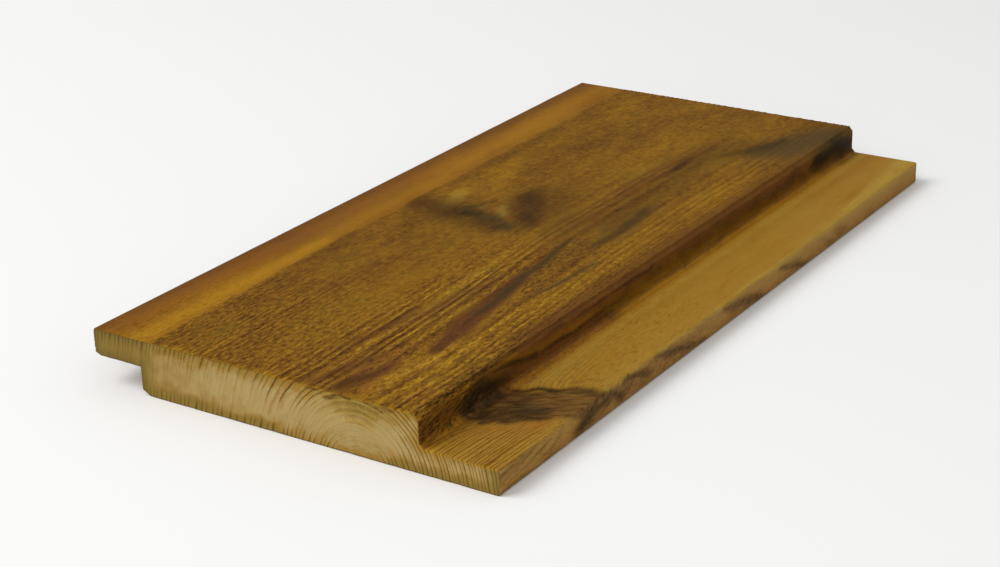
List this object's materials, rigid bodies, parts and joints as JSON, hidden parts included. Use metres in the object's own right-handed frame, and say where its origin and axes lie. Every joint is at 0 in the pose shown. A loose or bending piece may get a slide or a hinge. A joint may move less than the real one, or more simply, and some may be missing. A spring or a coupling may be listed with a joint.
{
  "type": "rebated cladding board",
  "caption": "Short length of treated softwood cladding with a rebate along each long edge, so that boards lap with a shadow gap.",
  "frame": {"origin": "middle of the board's width and length, on the plane of its back, where it lies", "axes": "+X across the board from the face lap to the back lap, +Y along the grain, +Z out of the weather face"},
  "size_m": [0.145, 0.285, 0.018],
  "materials": {
    "treated_softwood": "sawn and planed softwood with a brown preservative treatment, matt"
  },
  "bodies": {
    "root": {"cladding_board": "treated_softwood"}
  },
  "joints": []
}
